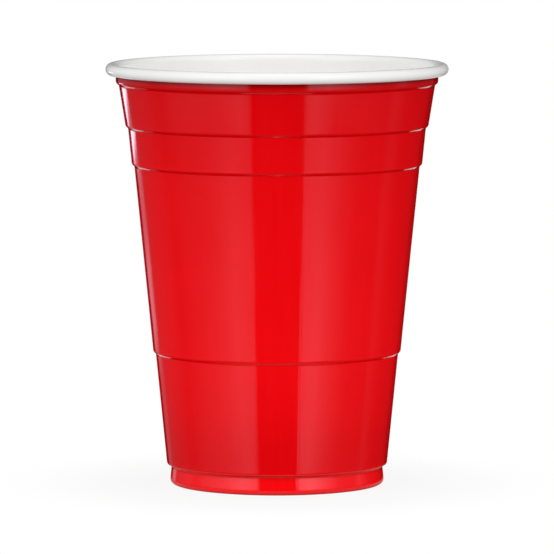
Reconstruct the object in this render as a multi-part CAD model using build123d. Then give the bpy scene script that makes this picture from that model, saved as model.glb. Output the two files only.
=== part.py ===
from build123d import *

import os
from math import acos, degrees, radians, tan

# A drinking cup drawn from one plastic sheet, in millimetres and degrees. Z is the axis, and the
# origin is the middle of the ring that the cup stands on. The half section is the outside skin of
# the sheet, walked from the axis under the base, up the stepped wall and round the rolled rim.

# Sheet
WALL = 0.35  # thickness of the drawn sheet

# Rim, rolled outwards into a hollow bead
RIM_DIAMETER = 95.0  # over the bead
CUP_HEIGHT = 117.0  # standing ring to the top of the bead
ROLL_DIAMETER = 3.2  # of the bead's round section
ROLL_GAP = 0.3  # between the curled-in edge of the sheet and the collar beside it

# Stepped wall, from the bead down: a straight collar, two bands, the grip and the base band
COLLAR_HEIGHT = 3.4  # underside of the bead to the collar's lower edge
COLLAR_LEDGE = 0.85  # how far the upper band is set in from the collar
UPPER_BAND_HEIGHT = 12.0
UPPER_BAND_DRAFT = 9.2  # the upper band flares more than the wall below it
LOWER_BAND_HEIGHT = 10.6
GRIP_HEIGHT = 52.1
STEP = 0.7  # how far each lower stretch of wall is set in from the one above
LEDGE_FALL = 40.0  # slope of the ledges below the horizontal
LEDGE_BEND_SHARE = 0.7  # inside bend radius at a ledge, as a share of its width

# Foot: a ring narrower at its top, so that the ledge above it stops a nested cup from jamming
FOOT_DIAMETER = 59.4  # at its widest
FOOT_HEIGHT = 5.1  # standing ring to the groove under the foot's ledge
FOOT_FLARE = 6.0  # how far the foot's side leans out towards its lower edge
FOOT_EDGE_RADIUS = 1.3  # outside radius of the lower edge
FOOT_LEDGE = 1.3  # how far the groove is set in from the base band
FOOT_LEDGE_FALL = 20.0
FOOT_BEND_SHARE = 0.35  # inside bend radius at the foot's ledge, as a share of its width

# Base: a panel raised clear of the surface that the cup stands on, stiffened by a stepped-up middle
STAND_WIDTH = 3.6  # foot's side to the inner edge of the standing ring
BASE_RECESS = 3.0  # standing ring to the underside of the panel
RISER_LEAN = 30.0  # of the slope between the standing ring and the panel, from the vertical
BASE_BEND_SHARE = 0.25  # inside bend radius at the panel's edge, as a share of its recess
MIDDLE_DIAMETER = 35.0  # of the stepped-up middle
MIDDLE_STEP = 0.8  # height of the middle above the rest of the panel

# The roll, as the outside face of the sheet follows it: up the collar, over, and back in below
BEAD_RADIUS = ROLL_DIAMETER / 2
ROLL_RADIUS = BEAD_RADIUS - WALL
COLLAR_RADIUS = RIM_DIAMETER / 2 - BEAD_RADIUS - ROLL_RADIUS
ROLL_TURN = 360 - degrees(acos((ROLL_RADIUS - ROLL_GAP) / BEAD_RADIUS))


def slope(angle):
    """Run for each unit of rise of a line that leans by this angle."""
    return tan(radians(angle))


def base_corners():
    """Corners of the base and foot, from the axis out, each with its inside bend radius.

    A radius is negative where the sheet bends round the outside of the cup.
    """
    middle_bend = LEDGE_BEND_SHARE * MIDDLE_STEP
    base_bend = BASE_BEND_SHARE * BASE_RECESS
    foot_bend = FOOT_BEND_SHARE * FOOT_LEDGE
    middle_radius = MIDDLE_DIAMETER / 2
    stand_radius = FOOT_DIAMETER / 2 - STAND_WIDTH
    panel_radius = stand_radius - BASE_RECESS * slope(RISER_LEAN)
    # The foot's side and the standing plane would meet a little outside its widest place.
    edge_share = 1 / slope((90 - FOOT_FLARE) / 2) - 1
    bottom_radius = FOOT_DIAMETER / 2 + FOOT_EDGE_RADIUS * edge_share
    groove_radius = bottom_radius - FOOT_HEIGHT * slope(FOOT_FLARE)
    ledge_rise = FOOT_LEDGE * slope(FOOT_LEDGE_FALL)
    return [
        ((middle_radius, BASE_RECESS + MIDDLE_STEP), -middle_bend),
        ((middle_radius + MIDDLE_STEP / slope(LEDGE_FALL), BASE_RECESS), middle_bend),
        ((panel_radius, BASE_RECESS), -base_bend),
        ((stand_radius, 0), base_bend),
        ((bottom_radius, 0), FOOT_EDGE_RADIUS - WALL),
        ((groove_radius, FOOT_HEIGHT), -foot_bend),
        ((groove_radius + FOOT_LEDGE, FOOT_HEIGHT + ledge_rise), foot_bend),
    ]


def ledge_corners(edge, width):
    """Lower and upper corner of a ledge that goes in and down from the edge of the wall above."""
    radius, height = edge
    ledge_bend = LEDGE_BEND_SHARE * width
    foot_of_ledge = (radius - width, height - width * slope(LEDGE_FALL))
    return [(foot_of_ledge, -ledge_bend), (edge, ledge_bend)]


def wall_corners(wall_end):
    """Corners of the stepped wall, from the base band's end up to the collar's lower edge."""
    collar_edge = CUP_HEIGHT - ROLL_DIAMETER - COLLAR_HEIGHT
    upper_edge = collar_edge - UPPER_BAND_HEIGHT
    lower_edge = upper_edge - LOWER_BAND_HEIGHT
    grip_edge = lower_edge - GRIP_HEIGHT

    corners = ledge_corners((COLLAR_RADIUS, collar_edge), COLLAR_LEDGE)
    radius, height = corners[0][0]
    upper_radius = radius - (height - upper_edge) * slope(UPPER_BAND_DRAFT)
    corners = ledge_corners((upper_radius, upper_edge), STEP) + corners

    # The stretches below share one draft, set by the radius that the wall still has to lose.
    radius, height = corners[0][0]
    end_radius, end_height = wall_end
    lower_ledges = (lower_edge, grip_edge)
    stepped_in = STEP * len(lower_ledges)
    stepped_down = stepped_in * slope(LEDGE_FALL)
    draft = (radius - end_radius - stepped_in) / (height - end_height - stepped_down)
    for edge_height in lower_ledges:
        radius, height = corners[0][0]
        edge_radius = radius - (height - edge_height) * draft
        corners = ledge_corners((edge_radius, edge_height), STEP) + corners
    return corners


def shifted(points, depth):
    """The corners of a line whose every stretch is moved this far to its left."""
    headings = [(end - start).normalized() for start, end in zip(points, points[1:])]
    lefts = [Vector(-heading.Y, heading.X) for heading in headings]
    pairs = zip([lefts[0]] + lefts, lefts + [lefts[-1]])
    shifts = [(before + after) * (depth / (1 + before.dot(after))) for before, after in pairs]
    return [point + shift for point, shift in zip(points, shifts)]


def skin(depth):
    """One face of the sheet, this deep behind the outside face, from the axis to the curled edge."""
    base = base_corners()
    corners = base + wall_corners(base[-1][0])
    points = [Vector(0, BASE_RECESS + MIDDLE_STEP)]
    points += [Vector(*place) for place, inside_bend in corners]
    points += [Vector(COLLAR_RADIUS, CUP_HEIGHT - BEAD_RADIUS)]
    bends = [inside_bend for place, inside_bend in corners]
    radii = [bend + WALL - depth if bend > 0 else depth - bend for bend in bends]
    wall = FilletPolyline(*shifted(points, depth), radius=radii)
    roll = JernArc(wall @ 1, wall % 1, radius=ROLL_RADIUS + depth, arc_size=-ROLL_TURN)
    return wall @ 0, roll @ 1


def cup():
    """The whole cup, the half section of its sheet turned about the axis."""
    with BuildSketch(Plane.XZ) as section:
        with BuildLine():
            outside = skin(0)
            inside = skin(WALL)
            for outside_end, inside_end in zip(outside, inside):
                Line(outside_end, inside_end)
        make_face()
    return revolve(section.sketch, axis=Axis.Z)


os.makedirs("parts", exist_ok=True)
export_step(cup(), "parts/cup.step")
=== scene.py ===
import logging
from dataclasses import dataclass
from enum import IntEnum
from typing import Any

import bpy
import numpy as np
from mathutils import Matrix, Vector


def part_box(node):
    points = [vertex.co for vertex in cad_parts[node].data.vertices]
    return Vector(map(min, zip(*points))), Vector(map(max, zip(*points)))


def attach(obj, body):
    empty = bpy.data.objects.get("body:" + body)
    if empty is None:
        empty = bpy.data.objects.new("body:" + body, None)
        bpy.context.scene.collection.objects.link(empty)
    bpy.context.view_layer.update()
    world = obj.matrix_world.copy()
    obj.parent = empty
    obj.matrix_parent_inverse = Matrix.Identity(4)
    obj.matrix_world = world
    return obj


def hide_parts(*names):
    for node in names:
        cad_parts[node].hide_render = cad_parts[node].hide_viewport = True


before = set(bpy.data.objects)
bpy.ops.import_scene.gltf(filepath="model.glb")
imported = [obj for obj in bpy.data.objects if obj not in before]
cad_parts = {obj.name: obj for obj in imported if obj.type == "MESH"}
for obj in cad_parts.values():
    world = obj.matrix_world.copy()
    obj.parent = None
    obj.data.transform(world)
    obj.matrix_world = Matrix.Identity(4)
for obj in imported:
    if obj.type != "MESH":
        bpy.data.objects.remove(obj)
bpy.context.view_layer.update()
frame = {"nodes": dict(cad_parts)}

# A drinking cup drawn from one two-colour plastic sheet, standing in a small studio. The cup's own sizes
# are in millimetres, and Blender's, with the studio's and the camera's, are in metres.

LOG = logging.getLogger("cup_scene")
MM = 0.001

# The sRGB curve: a straight toe up to its end, and above it a power of the offset value.
SRGB_FULL = 255
SRGB_TOE_END = 0.04045
SRGB_TOE_SLOPE = 12.92
SRGB_OFFSET = 0.055
SRGB_POWER = 2.4

# Plain white light, and the strength at which it is seen as white.
WHITE = "FFFFFF"
WHITE_STRENGTH = 1.0

# Most of a noise's values lie between these.
NOISE_LOW = 0.3
NOISE_HIGH = 0.7

# Places of the colour sockets on a Mix node, which have the same names as its number sockets.
MIX_SHARE = 0
MIX_FIRST = 6
MIX_SECOND = 7
MIX_COLOUR = 2

# Pairs of a place and a value there, with straight lines between them.
Stops = tuple[tuple[float, float], ...]


class SheetFace(IntEnum):
    """The two colours of the sheet, by the number of their material slot."""

    RED = 0
    WHITE = 1


def linear(hex_colour: str) -> tuple[float, float, float, float]:
    """Turn an sRGB colour into linear light.

    Args:
        hex_colour: Six hex digits, red first.

    Returns:
        Linear red, green and blue from 0 to 1, and an alpha of 1.
    """
    srgb = np.array(list(bytes.fromhex(hex_colour))) / SRGB_FULL
    toe = srgb / SRGB_TOE_SLOPE
    curve = ((srgb + SRGB_OFFSET) / (1 + SRGB_OFFSET)) ** SRGB_POWER
    light = np.where(srgb <= SRGB_TOE_END, toe, curve)
    return (*light.tolist(), 1.0)


def add_node(
    tree: bpy.types.NodeTree,
    kind: str,
    settings: dict[str, Any] | None = None,
    inputs: dict[str | int, Any] | None = None,
) -> bpy.types.Node:
    """Add a node, give it its settings, and fill or link its inputs.

    Args:
        tree: The node tree that gets the node.
        kind: The node's Blender type.
        settings: The node's properties by name.
        inputs: By the input's name or number, a value, another node's output socket, or another node,
            which gives its first output.

    Returns:
        The new node.
    """
    node = tree.nodes.new(kind)
    for name, value in (settings or {}).items():
        setattr(node, name, value)
    for key, value in (inputs or {}).items():
        source = value.outputs[0] if isinstance(value, bpy.types.Node) else value
        if isinstance(source, bpy.types.NodeSocket):
            tree.links.new(source, node.inputs[key])
        else:
            node.inputs[key].default_value = source
    return node


def empty_tree(owner: bpy.types.Material | bpy.types.World) -> bpy.types.NodeTree:
    """Give a material or a world a node tree with nothing in it.

    Args:
        owner: The material or world.

    Returns:
        Its node tree.
    """
    owner.use_nodes = True
    owner.node_tree.nodes.clear()
    return owner.node_tree


def grid_quads(rows: int, columns: int, closed: bool) -> np.ndarray:
    """Join a grid of vertices, numbered row by row, with quads.

    Args:
        rows: Number of rows.
        columns: Number of vertices in a row.
        closed: Whether the last column joins the first.

    Returns:
        One row of four vertex numbers for each quad.
    """
    row = np.arange(rows - 1)[:, None] * columns
    column = np.arange(columns if closed else columns - 1)[None, :]
    beside = (column + 1) % columns
    corners = (row + column, row + beside, row + columns + beside, row + columns + column)
    return np.stack(corners, axis=-1).reshape(-1, 4)


def add_piece(name: str, vertices: np.ndarray, faces: list[list[int]]) -> bpy.types.Object:
    """Make a smooth mesh object at the origin and put it in the scene.

    Args:
        name: Name of the object and of its mesh.
        vertices: One row of x, y and z in metres for each vertex.
        faces: The vertex numbers of each face.

    Returns:
        The new object.
    """
    mesh = bpy.data.meshes.new(name)
    mesh.from_pydata(vertices.tolist(), [], faces)
    mesh.shade_smooth()
    piece = bpy.data.objects.new(name, mesh)
    bpy.context.scene.collection.objects.link(piece)
    return piece


def add_attribute(piece: bpy.types.Object, name: str, values: np.ndarray) -> None:
    """Store a number, or a row of three, with each vertex of a mesh.

    Args:
        piece: The object whose mesh gets the attribute.
        name: The name that materials read it by.
        values: One number or one row of three for each vertex.
    """
    kind, field_name = ("FLOAT", "value") if values.ndim == 1 else ("FLOAT_VECTOR", "vector")
    attribute = piece.data.attributes.new(name, kind, "POINT")
    attribute.data.foreach_set(field_name, values.astype(np.float32).ravel())


def slope(angle: float) -> float:
    """Run for each unit of rise of a line that leans by this many degrees."""
    return float(np.tan(np.radians(angle)))


def moved_left(points: np.ndarray, depth: float) -> np.ndarray:
    """Move every stretch of a line sideways and find the new corners.

    With unit normals a and b of the stretches at a corner, the corner moves by
    depth * (a + b) / (1 + a . b).

    Args:
        points: The line's corners, one row of two numbers each.
        depth: How far each stretch moves to its left.

    Returns:
        The corners of the moved line.
    """
    steps = np.diff(points, axis=0)
    headings = steps / np.linalg.norm(steps, axis=1, keepdims=True)
    lefts = np.column_stack([-headings[:, 1], headings[:, 0]])
    before = np.vstack([lefts[:1], lefts])
    after = np.vstack([lefts, lefts[-1:]])
    spread = 1 + np.sum(before * after, axis=1, keepdims=True)
    return points + depth * (before + after) / spread


def rounded(points: np.ndarray, radii: np.ndarray, samples: int) -> tuple[np.ndarray, np.ndarray]:
    """Round every inner corner of a line with an arc of its own radius.

    An arc starts radius * tan(turn / 2) before its corner. Its centre is one radius to the side that
    the line turns to, and its points are centre - side * radius * left(heading), with the heading
    going evenly from the first stretch's to the second's. All arcs are one array of corner by sample.

    Args:
        points: The line's corners, one row of two numbers each.
        radii: The radius at each corner between the ends.
        samples: Number of steps along each arc.

    Returns:
        The rounded line's points, and for each of them how far it is into a bend: 0 at the start and
        end of an arc, 1 at the middle of one that turns left and -1 of one that turns right.
    """
    steps = np.diff(points, axis=0)
    heading = np.arctan2(steps[:, 1], steps[:, 0])
    turn = (np.diff(heading) + np.pi) % (2 * np.pi) - np.pi
    side = np.sign(turn)
    reach = radii * np.tan(np.abs(turn) / 2)
    ahead = np.column_stack([np.cos(heading), np.sin(heading)])[:-1]
    left = np.column_stack([-ahead[:, 1], ahead[:, 0]])
    centres = points[1:-1] - reach[:, None] * ahead + (side * radii)[:, None] * left

    share = np.linspace(0.0, 1.0, samples + 1)
    along = heading[:-1, None] + turn[:, None] * share
    lefts = np.stack([-np.sin(along), np.cos(along)], axis=-1)
    arcs = centres[:, None, :] - (side * radii)[:, None, None] * lefts
    bends = side[:, None] * np.sin(np.pi * share)
    line = np.vstack([points[:1], arcs.reshape(-1, 2), points[-1:]])
    return line, np.concatenate([[0.0], bends.ravel(), [0.0]])


def distances(line: np.ndarray) -> np.ndarray:
    """Distance of each point of a line from its first, added up along the line."""
    lengths = np.linalg.norm(np.diff(line, axis=0), axis=1)
    return np.concatenate([[0.0], np.cumsum(lengths)])


@dataclass(frozen=True)
class DrawnPolystyrene:
    """One face of a two-colour sheet of high-impact polystyrene, drawn warm into a cold mould.

    The rubber in it takes the glassy edge off the gloss. The shades by height are partly the sheet's own
    colour, deeper where it is hardly drawn and lighter the thinner it gets, and partly painted light and
    shade: on the red face a painted shadow under the rim, painted shade low on the wall and a painted
    lighter foot, and on the white face a painted lighter inside. Drawing leaves faint streaks up the
    wall, pales the sheet where it is strained over a tight bend, and leaves a slight orange peel where
    it chilled on the mould. Sizes are in millimetres. The shades go by height, as shares of the cup's.
    """

    name: str
    shades: tuple[tuple[float, str], ...]
    strained: str  # colour that a strained bend pales towards
    roughness: tuple[float, float]  # in the glossiest and the dullest streaks
    ior: float = 1.59
    streak_size: tuple[float, float, float] = (0.8, 0.8, 40.0)
    streak_height: float = 0.012
    streak_layers: float = 3.0
    peel_size: tuple[float, float, float] = (3.5, 3.5, 3.5)
    peel_height: float = 0.006
    peel_layers: float = 1.0
    cloud_size: tuple[float, float, float] = (22.0, 22.0, 22.0)
    cloud_layers: float = 2.0
    cloud_share: float = 0.02  # how far the clouds lighten or deepen the colour
    strain_share: float = 0.08  # how far a fully strained bend pales

    def noise(
        self,
        tree: bpy.types.NodeTree,
        place: bpy.types.NodeSocket,
        size: tuple[float, float, float],
        layers: float,
    ) -> bpy.types.Node:
        """Add a noise whose grain has a real size.

        Args:
            tree: The material's node tree.
            place: The coordinates that carry the pattern, in metres.
            size: Grain size along each axis.
            layers: Number of finer layers.

        Returns:
            The noise, whose first output is about a half on average.
        """
        scale = [1 / (length * MM) for length in size]
        mapping = add_node(tree, "ShaderNodeMapping", inputs={"Vector": place, "Scale": scale})
        inputs = {"Vector": mapping, "Scale": 1.0, "Detail": layers}
        return add_node(tree, "ShaderNodeTexNoise", inputs=inputs)

    def colour(
        self, tree: bpy.types.NodeTree, place: bpy.types.NodeSocket
    ) -> bpy.types.NodeSocket:
        """Add the colour: the shade at each height, which holds painted light and shade as well as the
        sheet's own colour, a little clouded, and paler over tight bends.

        Args:
            tree: The material's node tree.
            place: The coordinates that carry the clouds, in metres.

        Returns:
            The colour's socket.
        """
        rise = add_node(tree, "ShaderNodeAttribute", {"attribute_name": "rise"}).outputs["Fac"]
        strain = add_node(tree, "ShaderNodeAttribute", {"attribute_name": "strain"}).outputs["Fac"]
        # The ramp of shades by height: partly the sheet's own colour, partly painted light and shade.
        ramp = add_node(tree, "ShaderNodeValToRGB", inputs={"Fac": rise})
        stops = ramp.color_ramp.elements
        stops.remove(stops[-1])
        stops[0].color = linear(self.shades[0][1])
        for share, shade in self.shades[1:]:
            stops.new(share).color = linear(shade)

        clouds = self.noise(tree, place, self.cloud_size, self.cloud_layers)
        depth = add_node(
            tree,
            "ShaderNodeMapRange",
            inputs={
                "Value": clouds,
                "From Min": NOISE_LOW,
                "From Max": NOISE_HIGH,
                "To Min": 1 - self.cloud_share,
                "To Max": 1 + self.cloud_share,
            },
        )
        clouded = add_node(tree, "ShaderNodeHueSaturation", inputs={"Value": depth, "Color": ramp})
        paling = add_node(
            tree, "ShaderNodeMath", {"operation": "MULTIPLY"}, {0: strain, 1: self.strain_share}
        )
        paled = add_node(
            tree,
            "ShaderNodeMix",
            {"data_type": "RGBA"},
            {MIX_SHARE: paling, MIX_FIRST: clouded, MIX_SECOND: linear(self.strained)},
        )
        return paled.outputs[MIX_COLOUR]

    def material(self) -> bpy.types.Material:
        """Make the material.

        Returns:
            The finished material.
        """
        made = bpy.data.materials.new(self.name)
        tree = empty_tree(made)
        place = add_node(tree, "ShaderNodeTexCoord").outputs["Object"]
        sheet = add_node(tree, "ShaderNodeAttribute", {"attribute_name": "sheet"}).outputs["Vector"]
        upright = add_node(tree, "ShaderNodeAttribute", {"attribute_name": "upright"}).outputs["Fac"]

        streaks = self.noise(tree, sheet, self.streak_size, self.streak_layers)
        peel = self.noise(tree, place, self.peel_size, self.peel_layers)
        smooth, dull = self.roughness
        roughness = add_node(
            tree,
            "ShaderNodeMapRange",
            inputs={
                "Value": streaks,
                "From Min": NOISE_LOW,
                "From Max": NOISE_HIGH,
                "To Min": smooth,
                "To Max": dull,
            },
        )
        peeled = add_node(
            tree, "ShaderNodeBump", inputs={"Height": peel, "Distance": self.peel_height * MM}
        )
        streaked = add_node(
            tree,
            "ShaderNodeBump",
            inputs={
                "Strength": upright,
                "Height": streaks,
                "Distance": self.streak_height * MM,
                "Normal": peeled,
            },
        )
        shader = add_node(
            tree,
            "ShaderNodeBsdfPrincipled",
            inputs={
                "Base Color": self.colour(tree, place),
                "Roughness": roughness,
                "IOR": self.ior,
                "Normal": streaked,
            },
        )
        add_node(tree, "ShaderNodeOutputMaterial", inputs={"Surface": shader})
        return made


RED_POLYSTYRENE = DrawnPolystyrene(
    name="red_drawn_polystyrene",
    # Shades by height: partly the drawn sheet's colour, and partly painted light and shade, brightest at
    # mid-height.
    shades=(
        # Painted light: the foot is lighter than the wall above it.
        (0.0, "FC040B"),
        (0.034, "FB040B"),
        # Painted shade: darker from the groove under the foot's ledge up the lower part of the base band,
        # near the floor.
        (0.042, "EA0309"),
        (0.05, "EA0309"),
        (0.06, "E40209"),
        (0.12, "E60209"),
        (0.2, "F0030B"),
        (0.305, "F5040B"),
        (0.5, "F2030B"),
        (0.7, "EB030A"),
        (0.8, "E40209"),
        # Partly painted shade: darker up the upper band.
        (0.9, "DE0108"),
        (0.945, "DB0108"),
        # Painted shadow: the collar under the bead is darkest.
        (0.961, "C80106"),
        (0.972, "920004"),
    ),
    strained="F23A38",
    roughness=(0.06, 0.13),
)
WHITE_POLYSTYRENE = DrawnPolystyrene(
    name="white_drawn_polystyrene",
    # Painted light: the inside is lighter than the bead, where less light reaches it, and paler towards
    # its top.
    shades=((0.0, "F3EEEE"), (0.6, "F7F4F4"), (0.93, "F9F7F7"), (0.975, "F4F4F3")),
    strained="F6F6F5",
    roughness=(0.16, 0.24),
)
FINISHES = {SheetFace.RED: RED_POLYSTYRENE, SheetFace.WHITE: WHITE_POLYSTYRENE}


@dataclass(frozen=True)
class Section:
    """The sheet's half section, from the axis up the red face and back down the white one.

    Points are rows of radius and height in millimetres. The strain of a point is 1 at the middle of a
    bend that stretches its face. The first red_count points lie on the red face.
    """

    points: np.ndarray
    strain: np.ndarray
    red_count: int


@dataclass
class Cup:
    """A tapered cup drawn from one sheet, with a stepped wall, a foot and a rolled rim.

    Sizes are in millimetres and degrees. The half section runs up the red outside face of the sheet
    from the axis to the curled edge, and back down the white inside face. It is the solid's section,
    apart from the wall's ledges, which stand a little higher here, and the ripple of the thin wall.
    """

    rim_diameter: float  # over the bead
    height: float  # standing ring to the top of the bead
    wall: float = 0.35  # thickness of the sheet

    # Rolled rim
    roll_diameter: float = 3.2  # of the bead's round section
    roll_gap: float = 0.3  # between the curled-in edge and the collar beside it

    # Stepped wall, from the bead down
    collar_height: float = 3.4  # underside of the bead to the lower edge of the solid's collar
    collar_ledge: float = 0.85  # how far the upper band is set in from the collar
    upper_band_height: float = 12.0
    upper_band_draft: float = 9.2  # the upper band flares more than the wall below it
    lower_band_height: float = 10.6
    grip_height: float = 52.1
    step: float = 0.7  # how far each lower stretch of wall is set in from the one above
    ledge_lift: float = 1.3  # height of the wall's ledges above the solid's
    ledge_fall: float = 40.0  # slope of the ledges below the horizontal
    ledge_bend_share: float = 0.7  # inside bend radius, as a share of the ledge's width

    # Foot, narrower at its top
    foot_diameter: float = 59.4  # at its widest
    foot_height: float = 5.1  # standing ring to the groove under the foot's ledge
    foot_flare: float = 6.0  # how far its side leans out towards its lower edge
    foot_edge_radius: float = 1.3
    foot_ledge: float = 1.3  # how far the groove is set in from the base band
    foot_ledge_fall: float = 20.0
    foot_bend_share: float = 0.35  # inside bend radius, as a share of the foot's ledge

    # Base, a raised panel with a stepped-up middle
    stand_width: float = 3.6  # foot's side to the inner edge of the standing ring
    base_recess: float = 3.0  # standing ring to the underside of the panel
    riser_lean: float = 30.0  # of the slope up to the panel, from the vertical
    base_bend_share: float = 0.25  # inside bend radius, as a share of the recess
    middle_diameter: float = 35.0
    middle_step: float = 0.8

    # Ripple of the thin wall, each wave with its number around, its turns up the wall and its phase
    ripple_depth: float = 0.06
    ripple_waves: tuple[tuple[float, float, float], ...] = ((3, 1, 0.0), (7, -2, 1.0), (13, 3, 2.5))

    # Fineness of the mesh
    segments: int = 256  # around the axis
    arc_samples: int = 5  # steps along each bend
    roll_samples: int = 24  # steps round the bead
    run_shortest: float = 1.0  # a shorter straight run gets no points between its ends
    run_spacing: float = 4.0  # widest spacing of the points along a straight run
    run_ease: float = 0.2  # distance of the first and last of them from the run's ends

    @property
    def bead_radius(self) -> float:
        """Outer radius of the rolled bead's section."""
        return self.roll_diameter / 2

    @property
    def roll_radius(self) -> float:
        """Radius that the red face follows inside the bead."""
        return self.bead_radius - self.wall

    @property
    def collar_radius(self) -> float:
        """Outside radius of the straight collar under the bead."""
        return self.rim_diameter / 2 - self.bead_radius - self.roll_radius

    @property
    def collar_edge(self) -> float:
        """Height of the collar's lower edge, from which the wall's other ledges are set out."""
        return self.height - self.roll_diameter - self.collar_height + self.ledge_lift

    @property
    def standing_radius(self) -> float:
        """Outer radius of the flat ring that the cup stands on."""
        return self.foot_diameter / 2 - self.foot_edge_radius

    def ledge(self, radius: float, height: float, width: float) -> np.ndarray:
        """Corners of a ledge that goes in and down from the edge of the wall above.

        Args:
            radius: Radius of the edge.
            height: Height of the edge.
            width: How far the ledge goes in.

        Returns:
            The lower and the upper corner, each with its inside bend radius, which is negative where
            the sheet bends round the outside of the cup.
        """
        bend = self.ledge_bend_share * width
        fall = width * slope(self.ledge_fall)
        return np.array([[radius - width, height - fall, -bend], [radius, height, bend]])

    def base_corners(self) -> np.ndarray:
        """Corners of the base and the foot, from the axis out.

        Returns:
            Radius, height and inside bend radius of each corner.
        """
        middle_bend = self.ledge_bend_share * self.middle_step
        base_bend = self.base_bend_share * self.base_recess
        foot_bend = self.foot_bend_share * self.foot_ledge
        middle = self.middle_diameter / 2
        middle_run = self.middle_step / slope(self.ledge_fall)
        stand = self.foot_diameter / 2 - self.stand_width
        panel = stand - self.base_recess * slope(self.riser_lean)
        # The foot's side and the standing plane would meet a little outside its widest place.
        edge_share = 1 / slope((90 - self.foot_flare) / 2) - 1
        bottom = self.foot_diameter / 2 + self.foot_edge_radius * edge_share
        groove = bottom - self.foot_height * slope(self.foot_flare)
        ledge_height = self.foot_height + self.foot_ledge * slope(self.foot_ledge_fall)
        return np.array(
            [
                [middle, self.base_recess + self.middle_step, -middle_bend],
                [middle + middle_run, self.base_recess, middle_bend],
                [panel, self.base_recess, -base_bend],
                [stand, 0.0, base_bend],
                [bottom, 0.0, self.foot_edge_radius - self.wall],
                [groove, self.foot_height, -foot_bend],
                [groove + self.foot_ledge, ledge_height, foot_bend],
            ]
        )

    def wall_corners(self, wall_end: np.ndarray) -> np.ndarray:
        """Corners of the stepped wall, from the base band's end up to the collar's lower edge.

        Args:
            wall_end: Radius and height at which the wall meets the foot's ledge.

        Returns:
            Radius, height and inside bend radius of each corner.
        """
        upper_edge = self.collar_edge - self.upper_band_height
        lower_edge = upper_edge - self.lower_band_height
        corners = self.ledge(self.collar_radius, self.collar_edge, self.collar_ledge)
        fall = (corners[0, 1] - upper_edge) * slope(self.upper_band_draft)
        corners = np.vstack([self.ledge(corners[0, 0] - fall, upper_edge, self.step), corners])

        # The stretches below share one draft, set by the radius that the wall still has to lose.
        lower_ledges = (lower_edge, lower_edge - self.grip_height)
        stepped_in = self.step * len(lower_ledges)
        stepped_down = stepped_in * slope(self.ledge_fall)
        lost, dropped = corners[0, :2] - wall_end
        draft = (lost - stepped_in) / (dropped - stepped_down)
        for edge in lower_ledges:
            radius = corners[0, 0] - (corners[0, 1] - edge) * draft
            corners = np.vstack([self.ledge(radius, edge, self.step), corners])
        return corners

    def skin(self, depth: float) -> tuple[np.ndarray, np.ndarray]:
        """One face of the sheet, from the axis to its curled edge.

        The corners are moved in by the depth and rounded, and the roll follows as an arc of
        (-cos t, sin t) about the bead's centre. Straight runs get evenly spaced points, the first and
        last of them close to the run's ends, so that smooth shading turns only at the bends.

        Args:
            depth: How deep the face lies behind the outside face.

        Returns:
            Radius and height of each point, and how far each is into a bend, as rounded gives it.
        """
        base = self.base_corners()
        corners = np.vstack([base, self.wall_corners(base[-1, :2])])
        start = [0.0, self.base_recess + self.middle_step]
        end = [self.collar_radius, self.height - self.bead_radius]
        points = moved_left(np.vstack([start, corners[:, :2], end]), depth)
        bends = corners[:, 2]
        radii = np.where(bends > 0, bends + self.wall - depth, depth - bends)
        line, bent = rounded(points, radii, self.arc_samples)

        tuck = np.degrees(np.arccos((self.roll_radius - self.roll_gap) / self.bead_radius))
        turn = np.radians(np.linspace(0.0, 360 - tuck, self.roll_samples + 1))[1:]
        centre = np.array([self.collar_radius + self.roll_radius, self.height - self.bead_radius])
        around = np.column_stack([-np.cos(turn), np.sin(turn)])
        line = np.vstack([line, centre + (self.roll_radius + depth) * around])
        bent = np.concatenate([bent, np.zeros_like(turn)])

        along = distances(line)
        ease = self.run_ease
        runs = [
            np.linspace(low + ease, high - ease, 2 + int((high - low) / self.run_spacing))
            for low, high in zip(along[:-1], along[1:])
            if high - low > self.run_shortest
        ]
        stations = np.unique(np.concatenate([along, *runs]))
        places = [np.interp(stations, along, line[:, axis]) for axis in (0, 1)]
        return np.column_stack(places), np.interp(stations, along, bent)

    def section(self) -> Section:
        """Put the two faces of the sheet end to end.

        Returns:
            The closed half section, whose two ends lie on the axis.
        """
        outside, outside_bent = self.skin(0.0)
        inside, inside_bent = self.skin(self.wall)
        strain = np.clip(np.concatenate([outside_bent, -inside_bent[::-1]]), 0, 1)
        return Section(np.vstack([outside, inside[::-1]]), strain, len(outside))

    def ripple(self, angle: np.ndarray, height: np.ndarray) -> np.ndarray:
        """How far the thin wall sinks in, as a warm sheet does between the mould and the plug.

        The sum of waves sin(k a + m z + p), with k waves around, m turns up the wall and a phase p each,
        moved and scaled to lie from 0 to 1, times the depth and times sin squared from the foot's ledge
        to the collar, so that the foot and the rim stay round.

        Args:
            angle: Angles about the axis, one row.
            height: Heights in millimetres, one column.

        Returns:
            Depth in millimetres for each height and angle.
        """
        share = np.clip((height - self.foot_height) / (self.collar_edge - self.foot_height), 0, 1)
        around, turns, phase = np.array(self.ripple_waves).T[:, :, None, None]
        waves = np.sin(around * angle + turns * 2 * np.pi * share + phase)
        return self.ripple_depth * np.sin(np.pi * share) ** 2 * (np.mean(waves, axis=0) + 1) / 2

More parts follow.
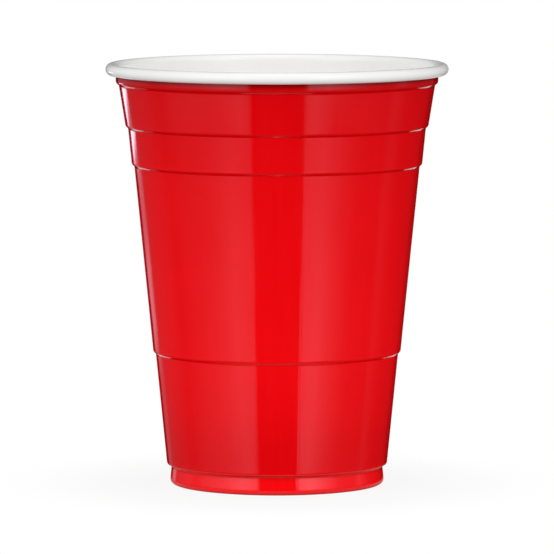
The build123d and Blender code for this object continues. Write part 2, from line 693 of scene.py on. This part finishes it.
    def vertices(self, section: Section, angle: np.ndarray) -> np.ndarray:
        """Turn the half section about the axis.

        A vertex is ((r - d) cos a, (r - d) sin a, z), with the section's radius r and height z and the
        ripple's depth d. The section's ends give one vertex each, after the rings.

        Args:
            section: The half section.
            angle: Angles about the axis.

        Returns:
            One row of x, y and z in metres for each vertex.
        """
        radius, height = section.points[1:-1].T[:, :, None]
        radius = radius - self.ripple(angle[None, :], height)
        height = np.broadcast_to(height, radius.shape)
        rings = np.stack([radius * np.cos(angle), radius * np.sin(angle), height], axis=-1)
        poles = np.array([[0.0, *end] for end in section.points[[0, -1]]])
        return np.vstack([rings.reshape(-1, 3), poles]) * MM

    def faces(self, ring_count: int) -> list[list[int]]:
        """Join the rings with quads, and the first and last ring to the poles with triangles.

        Args:
            ring_count: Number of rings.

        Returns:
            The vertex numbers of each face, all the way round and then along the section.
        """
        column = np.arange(self.segments)
        beside = np.roll(column, -1)
        last_ring = (ring_count - 1) * self.segments
        pole = np.full_like(column, ring_count * self.segments)
        first_fan = np.column_stack([pole, beside, column])
        last_fan = np.column_stack([last_ring + column, last_ring + beside, pole + 1])
        quads = grid_quads(ring_count, self.segments, closed=True)
        return first_fan.tolist() + quads.tolist() + last_fan.tolist()

    def spread(self, values: np.ndarray) -> np.ndarray:
        """Give each vertex its section point's values, the rings first and then the two poles."""
        return np.concatenate([np.repeat(values[1:-1], self.segments, axis=0), values[[0, -1]]])

    def mark(self, cup: bpy.types.Object, section: Section, angle: np.ndarray) -> None:
        """Store what the finishes read: each face's colour, and four attributes of the vertices.

        They are the place on the sheet (R cos a, R sin a, s), with the rim's radius R and the distance s
        along the section, the height as a share of the cup's, how upright the sheet is, |dz / ds|, and
        how strained it is.

        Args:
            cup: The cup's mesh object.
            section: The half section.
            angle: Angles about the axis.
        """
        # The face that joins the two skins at the curled edge is the last red one.
        section_row = np.repeat(np.arange(len(section.points) - 1), self.segments)
        colours = np.where(section_row < section.red_count, SheetFace.RED, SheetFace.WHITE)
        cup.data.polygons.foreach_set("material_index", colours.astype(np.int32))

        along = distances(section.points)
        height = section.points[:, 1]
        turned = np.concatenate([np.tile(angle, len(height) - 2), [0.0, 0.0]])
        around = self.rim_diameter / 2 * np.column_stack([np.cos(turned), np.sin(turned)])
        add_attribute(cup, "sheet", np.column_stack([around, self.spread(along)]) * MM)
        add_attribute(cup, "rise", self.spread(height / self.height))
        add_attribute(cup, "upright", self.spread(np.abs(np.gradient(height, along))))
        add_attribute(cup, "strain", self.spread(section.strain))

    def build(self) -> bpy.types.Object:
        """Make the cup as one closed mesh.

        Returns:
            The cup's object, marked for its finishes.
        """
        section = self.section()
        angle = 2 * np.pi * np.arange(self.segments) / self.segments
        ring_count = len(section.points) - 2
        cup = add_piece("cup_sheet", self.vertices(section, angle), self.faces(ring_count))
        self.mark(cup, section, angle)
        return cup

    def dress(self, cup: bpy.types.Object) -> None:
        """Give the cup its two colours and stand it in for its solid.

        Args:
            cup: The cup's mesh object.
        """
        for face in SheetFace:
            cup.data.materials.append(FINISHES[face].material())
        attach(cup, "root")
        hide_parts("cup")


@dataclass(frozen=True)
class Card:
    """A curved card round the cup that its gloss mirrors, and that the camera doesn't see.

    Its place is given in degrees, as seen from the middle of the cup's foot: azimuths from the camera's
    side, to the camera's right, and elevations from the floor up. Its brightness is the product of two
    lines of stops, one along each of these angles. The widths, by elevation, narrow the card towards its
    side that is nearest to the camera's.
    """

    name: str
    distance: float  # from the cup's axis, in metres
    across: Stops
    upwards: Stops
    widths: Stops = ((-90, 1.0), (90, 1.0))  # full width at every elevation
    steps: int = 96  # of the grid, each way

    def build(self, material: bpy.types.Material) -> bpy.types.Object:
        """Make the card as (sin a, -cos a, tan e) times its distance, on a grid of a and e.

        The azimuth a is b + (t - b) w, with the stops' azimuth t, that of the card's nearest side b, and
        the width w at the elevation e.

        Args:
            material: A material that shines by the attribute named glow.

        Returns:
            The card's object.
        """
        azimuths, bright_across = np.array(self.across).T
        elevations, bright_upwards = np.array(self.upwards).T
        turn = np.linspace(azimuths[0], azimuths[-1], self.steps)[None, :]
        rise = np.linspace(elevations[0], elevations[-1], self.steps)[:, None]
        glow = np.interp(turn, azimuths, bright_across) * np.interp(rise, elevations, bright_upwards)
        nearest = azimuths[np.argmin(np.abs(azimuths))]
        width = np.interp(rise, *np.array(self.widths).T)
        azimuth = np.radians(nearest + (turn - nearest) * width)
        slant = np.broadcast_to(np.tan(np.radians(rise)), azimuth.shape)
        grid = self.distance * np.stack([np.sin(azimuth), -np.cos(azimuth), slant], axis=-1)
        faces = grid_quads(self.steps, self.steps, closed=False).tolist()
        card = add_piece(self.name, grid.reshape(-1, 3), faces)
        add_attribute(card, "glow", glow.ravel())
        card.data.materials.append(material)
        card.visible_camera = False
        card.visible_diffuse = False
        card.visible_shadow = False
        return card


@dataclass
class Studio:
    """A pale floor under soft light, with softboxes beside the cup and dark cloth between them.

    Sizes are in metres and angles in degrees, as on the cards. Stops give a brightness, where 1 is
    white, or a width as a share.
    """

    floor_hole: float  # radius of the hole under the cup

    # Light on matt surfaces, from all round and from two square lamps
    sky_light: float = 0.63  # as a share of white
    lamp_power: float = 13.8  # in watts, each
    lamp_size: float = 1.2
    lamp_aside: float = 1.3
    lamp_forward: float = 1.1
    lamp_height: float = 0.66

    # Floor
    floor_radius: float = 12.0
    floor_sides: int = 96
    floor_colour: str = "C4C4C2"
    shade_radii: tuple[float, float] = (0.03, 0.085)  # between these the shadow fades out
    shade_lift: float = 0.9  # share of the background's white that is seen in the shadow
    mirrored_radius: float = 0.037  # the gloss mirrors the floor out to here

    # Softboxes, alike by elevation and each with its own brightness by azimuth
    softbox_distance: float = 3.0
    softbox_colour: str = "EDEDFF"
    softbox_rise: Stops = (
        (-36, 0.06),
        (-24, 0.47),
        (-20, 0.7),
        (-19, 0.88),
        (-18, 1.22),
        (-16, 1.25),
        (-15, 1.07),
        (-14.3, 0.87),
        (-13.4, 0.66),
        (-11, 0.66),
        (-8.5, 0.5),
        (-4, 0.5),
        (-2, 0.8),
        (0, 2.2),
        (2, 2.8),
        (6, 2.8),
        (9, 2.2),
        (13, 1.2),
        (40, 1.2),
    )
    softbox_width: Stops = (
        (-36, 0.3),
        (-24, 0.4),
        (-20, 0.48),
        (-18.2, 0.58),
        (-17.3, 0.78),
        (-16.2, 0.93),
        (-15, 1.0),
        (40, 1.0),
    )
    left_glow: Stops = (
        (-156, 0.19),
        (-112, 0.17),
        (-97, 0.1),
        (-83, 0.18),
        (-60, 0.28),
        (-48, 0.4),
        (-38, 0.54),
        (-30, 0.47),
        (-20, 0.38),
    )
    right_glow: Stops = (
        (21.5, 0.52),
        (28, 0.56),
        (37, 0.65),
        (48, 0.43),
        (58, 0.25),
        (70, 0.11),
        (92, 0.08),
        (100, 0.19),
        (107, 0.1),
        (118, 0.045),
        (150, 0.03),
    )

    # Strip light close behind the cup at the left, bright where the edges of the upper bands mirror it
    strip_distance: float = 0.5
    strip_span: tuple[float, float] = (-153.0, -140.0)  # its two azimuths
    strip_rise: Stops = (
        (-25, 0.2),
        (-5, 0.2),
        (-3.5, 0.6),
        (-1, 0.6),
        (0.5, 0.35),
        (3.6, 0.4),
        (4.6, 3.6),
        (6.6, 3.6),
        (7.6, 0.2),
        (14, 0.2),
    )

    # Dark cloth behind the softboxes and all round
    cloth_distance: float = 3.5
    cloth_glow: float = 0.004
    cloth_reach: float = 158.0  # azimuth, to either side, at which the gap behind the cup starts
    cloth_rise: tuple[float, float] = (-88.0, 70.0)
    rear_gap: tuple[float, float] = (-45.0, -14.0)  # lowest and highest elevation of that gap

    def softboxes(self) -> list[Card]:
        """Lay out the softboxes that shine in the gloss.

        Returns:
            The left one, the right one and the strip light.
        """
        glows = {"softbox_left": self.left_glow, "softbox_right": self.right_glow}
        boxes = [
            Card(name, self.softbox_distance, glow, self.softbox_rise, self.softbox_width)
            for name, glow in glows.items()
        ]
        strip_glow = tuple((angle, 1.0) for angle in self.strip_span)
        return [*boxes, Card("strip_light", self.strip_distance, strip_glow, self.strip_rise)]

    def cloths(self) -> list[Card]:
        """Lay out the dark cloth all round, with a gap low behind the cup, where white shows.

        Returns:
            The cloth round the front and sides, and those above and below the gap.
        """
        bottom, top = self.cloth_rise
        gap_bottom, gap_top = self.rear_gap
        behind = (self.cloth_reach, 360 - self.cloth_reach)
        spans = {
            "dark_cloth": ((-self.cloth_reach, self.cloth_reach), self.cloth_rise),
            "dark_cloth_rear": (behind, (gap_top, top)),
            "dark_cloth_low": (behind, (bottom, gap_bottom)),
        }
        return [
            Card(
                name,
                self.cloth_distance,
                tuple((angle, self.cloth_glow) for angle in turn),
                tuple((angle, 1.0) for angle in rise),
            )
            for name, (turn, rise) in spans.items()
        ]

    def shining(self, name: str, colour: str) -> bpy.types.Material:
        """Make a material that shines by the attribute named glow.

        Args:
            name: The material's name.
            colour: The light's sRGB colour, six hex digits.

        Returns:
            The material, left out of light sampling because it lights nothing but the gloss.
        """
        made = bpy.data.materials.new(name)
        tree = empty_tree(made)
        glow = add_node(tree, "ShaderNodeAttribute", {"attribute_name": "glow"}).outputs["Fac"]
        light = add_node(tree, "ShaderNodeEmission", inputs={"Color": linear(colour), "Strength": glow})
        add_node(tree, "ShaderNodeOutputMaterial", inputs={"Surface": light})
        made.cycles.emission_sampling = "NONE"
        return made

    def matt_white(self) -> bpy.types.Material:
        """Make the floor's material.

        Near the cup it is a matt white that takes the cup's shadow, and further out the camera sees the
        background's white. The gloss mirrors only the floor close to the foot, and from below the floor
        is looked through.

        Returns:
            The material.
        """
        made = bpy.data.materials.new("matt_white_floor")
        tree = empty_tree(made)
        path = add_node(tree, "ShaderNodeLightPath").outputs
        place = add_node(tree, "ShaderNodeTexCoord").outputs["Object"]
        away = add_node(tree, "ShaderNodeVectorMath", {"operation": "LENGTH"}, {0: place}).outputs["Value"]
        near, far = self.shade_radii
        fade = add_node(
            tree,
            "ShaderNodeMapRange",
            {"interpolation_type": "SMOOTHSTEP"},
            {"Value": away, "From Min": near, "From Max": far, "To Min": self.shade_lift},
        )
        seen_white = add_node(
            tree, "ShaderNodeMath", {"operation": "MULTIPLY"}, {0: fade, 1: path["Is Camera Ray"]}
        )
        matt = add_node(tree, "ShaderNodeBsdfDiffuse", inputs={"Color": linear(self.floor_colour)})
        white = add_node(tree, "ShaderNodeEmission", inputs={"Strength": WHITE_STRENGTH})
        top = add_node(tree, "ShaderNodeMixShader", inputs={0: seen_white, 1: matt, 2: white})

        far_off = add_node(
            tree, "ShaderNodeMath", {"operation": "GREATER_THAN"}, {0: away, 1: self.mirrored_radius}
        )
        unmirrored = add_node(
            tree, "ShaderNodeMath", {"operation": "MULTIPLY"}, {0: far_off, 1: path["Is Glossy Ray"]}
        )
        below = add_node(tree, "ShaderNodeNewGeometry").outputs["Backfacing"]
        hidden = add_node(tree, "ShaderNodeMath", {"operation": "MAXIMUM"}, {0: unmirrored, 1: below})
        clear = add_node(tree, "ShaderNodeBsdfTransparent")
        surface = add_node(tree, "ShaderNodeMixShader", inputs={0: hidden, 1: top, 2: clear})
        add_node(tree, "ShaderNodeOutputMaterial", inputs={"Surface": surface})
        return made

    def floor(self) -> bpy.types.Object:
        """Make a round floor, a ring of (r cos a, r sin a, 0).

        Its hole lets light to the base for views from below.

        Returns:
            The floor's object.
        """
        turn = 2 * np.pi * np.arange(self.floor_sides) / self.floor_sides
        circle = np.column_stack([np.cos(turn), np.sin(turn), np.zeros_like(turn)])
        radii = (self.floor_radius, self.floor_hole)
        rings = np.vstack([radius * circle for radius in radii])
        faces = grid_quads(len(radii), self.floor_sides, closed=True).tolist()
        floor = add_piece("floor", rings, faces)
        floor.data.materials.append(self.matt_white())
        return floor

    def lamps(self) -> list[bpy.types.Object]:
        """Hang a large lamp on each side of the camera, pointing at the cup.

        The cards stand for them in the gloss, so they don't show there themselves.

        Returns:
            The two lamps.
        """
        hung = []
        for name, side in (("lamp_left", -1), ("lamp_right", 1)):
            light = bpy.data.lights.new(name, "AREA")
            light.energy = self.lamp_power
            light.size = self.lamp_size
            lamp = bpy.data.objects.new(name, light)
            lamp.location = (side * self.lamp_aside, -self.lamp_forward, self.lamp_height)
            lamp.rotation_euler = (-lamp.location).to_track_quat("-Z", "Y").to_euler()
            lamp.visible_glossy = False
            bpy.context.scene.collection.objects.link(lamp)
            hung.append(lamp)
        return hung

    def sky(self) -> None:
        """Surround the scene with white that is seen and mirrored, and soft light on matt surfaces."""
        world = bpy.data.worlds.new("studio_white")
        tree = empty_tree(world)
        path = add_node(tree, "ShaderNodeLightPath").outputs
        direct = add_node(
            tree,
            "ShaderNodeMath",
            {"operation": "MAXIMUM"},
            {0: path["Is Camera Ray"], 1: path["Is Glossy Ray"]},
        )
        shown = add_node(
            tree, "ShaderNodeMath", {"operation": "MAXIMUM"}, {0: direct, 1: path["Is Transmission Ray"]}
        )
        white = linear(WHITE)
        soft = add_node(tree, "ShaderNodeBackground", inputs={"Color": white, "Strength": self.sky_light})
        plain = add_node(tree, "ShaderNodeBackground", inputs={"Color": white, "Strength": WHITE_STRENGTH})
        mixed = add_node(tree, "ShaderNodeMixShader", inputs={0: shown, 1: soft, 2: plain})
        add_node(tree, "ShaderNodeOutputWorld", inputs={"Surface": mixed})
        world.cycles.sampling_method = "NONE"
        bpy.context.scene.world = world

    def build(self) -> None:
        """Make the floor, the lamps, the sky, the softboxes with the strip light, and the dark cloth."""
        self.floor()
        self.lamps()
        self.sky()
        light = self.shining("softbox_cloth", self.softbox_colour)
        for card in self.softboxes():
            card.build(light)
        cloth = self.shining("charcoal_cloth", WHITE)
        for card in self.cloths():
            card.build(cloth)


@dataclass
class Viewpoint:
    """A long lens, a little above the cup's rim, aimed at the middle of the cup."""

    distance: float = 1.66  # from the cup's axis, in metres
    height: float = 0.212  # above the floor, in metres
    lens: float = 390.0  # focal length in millimetres
    aim_height: float = 0.0575  # of the point on the axis that it is aimed at, in metres

    def build(self) -> bpy.types.Object:
        """Make the scene's camera.

        Returns:
            The camera's object.
        """
        camera = bpy.data.objects.new("camera", bpy.data.cameras.new("camera"))
        camera.data.lens = self.lens
        camera.location = (0.0, -self.distance, self.height)
        aim = Vector((0.0, 0.0, self.aim_height)) - camera.location
        camera.rotation_euler = aim.to_track_quat("-Z", "Y").to_euler()
        bpy.context.scene.collection.objects.link(camera)
        bpy.context.scene.camera = camera
        return camera


def main() -> None:
    """Build the cup, its studio and the camera."""
    logging.basicConfig(level=logging.INFO, format="%(message)s")
    LOG.info("solids: %s", ", ".join(frame["nodes"]))
    low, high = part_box("cup")
    size = (high - low) / MM
    cup = Cup(rim_diameter=size.x, height=size.z)
    piece = cup.build()
    cup.dress(piece)
    LOG.info("%s: %d faces", piece.name, len(piece.data.polygons))
    Studio(floor_hole=cup.standing_radius * MM).build()
    LOG.info("studio: floor, two lamps, two softboxes, a strip light and dark cloth")
    camera = Viewpoint().build()
    LOG.info("%s: %.0f mm lens", camera.name, camera.data.lens)
    bpy.context.scene.view_settings.view_transform = "Standard"


if __name__ == "__main__":
    main()
